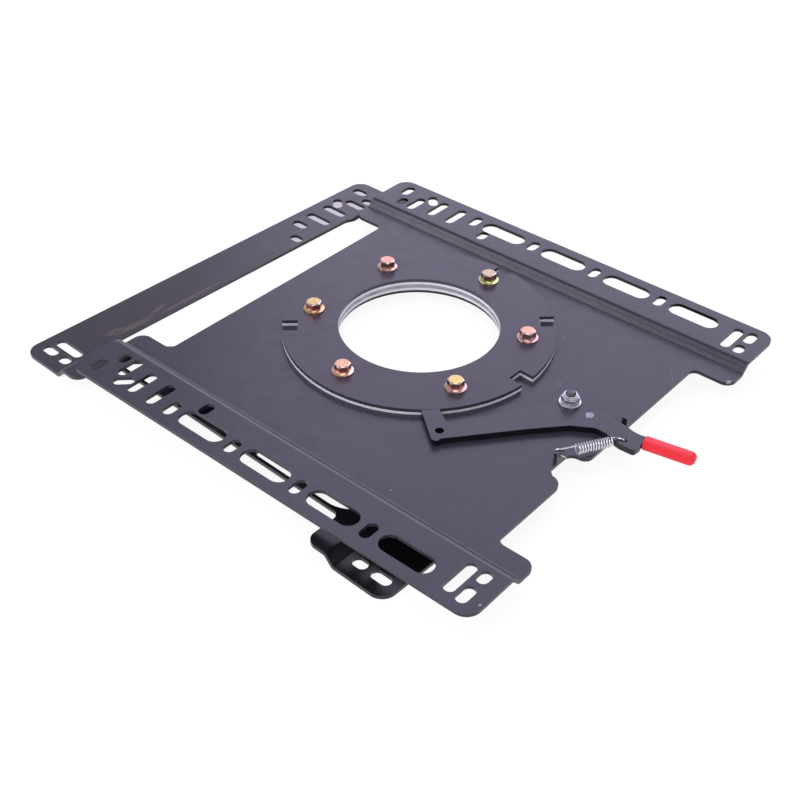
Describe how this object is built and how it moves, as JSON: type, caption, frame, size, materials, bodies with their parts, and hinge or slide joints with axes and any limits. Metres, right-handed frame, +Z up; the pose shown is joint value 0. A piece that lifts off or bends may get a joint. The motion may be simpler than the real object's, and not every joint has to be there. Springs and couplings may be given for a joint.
{
  "type": "swivel seat base",
  "caption": "Flat swivel base for a vehicle seat: crossed pressed steel plates turning round a bolted ring with a sprung lock lever.",
  "frame": {"origin": "on the swivel axis, in the plane that the upper plate slides on", "axes": "+Z up along the swivel axis; X along the rails of the lower plate, which is fixed to the vehicle; +Y across them, towards the wide side of the lower plate and away from the lever's grip"},
  "size_m": [0.416, 0.4868, 0.0334],
  "materials": {
    "black_coat": "satin powder coat",
    "slide_plastic": "smooth slide ring",
    "plain_steel": "plain",
    "yellow_zinc": "yellow passivated zinc",
    "bright_zinc": "bright zinc",
    "red_vinyl": "dipped vinyl"
  },
  "bodies": {
    "floor_base": {"lower_plate": "black_coat", "lower_slide_ring": "slide_plastic", "spacer_ring": "plain_steel", "upper_slide_ring": "slide_plastic", "clamp_ring": "black_coat", "ring_bolt_1": "yellow_zinc", "ring_bolt_2": "yellow_zinc", "ring_bolt_3": "yellow_zinc", "ring_bolt_4": "yellow_zinc", "ring_bolt_5": "yellow_zinc", "ring_bolt_6": "yellow_zinc", "ring_nut_1": "plain_steel", "ring_nut_2": "plain_steel", "ring_nut_3": "plain_steel", "ring_nut_4": "plain_steel", "ring_nut_5": "plain_steel", "ring_nut_6": "plain_steel"},
    "seat_plate": {"upper_plate": "black_coat", "pivot_stud": "bright_zinc", "pivot_shim": "bright_zinc", "pivot_washer": "bright_zinc", "pivot_nut": "bright_zinc", "return_spring": "bright_zinc"},
    "lever": {"lock_lever": "black_coat", "lever_bush": "bright_zinc", "lever_rivet": "bright_zinc", "lever_grip": "red_vinyl"}
  },
  "joints": [
    {"name": "swivel", "type": "hinge", "parent": "floor_base", "child": "seat_plate", "pos_m": [0, 0, 0], "axis": [0, 0, 1], "continuous": true},
    {"name": "lever_pull", "type": "hinge", "parent": "seat_plate", "child": "lever", "pos_m": [0.00032, -0.15357, 0.00615], "axis": [0, 0, 1], "range_deg": [0, 5], "stiffness_Nm_per_rad": 2, "springref_deg": -17.19, "deforming": ["return_spring"]}
  ]
}
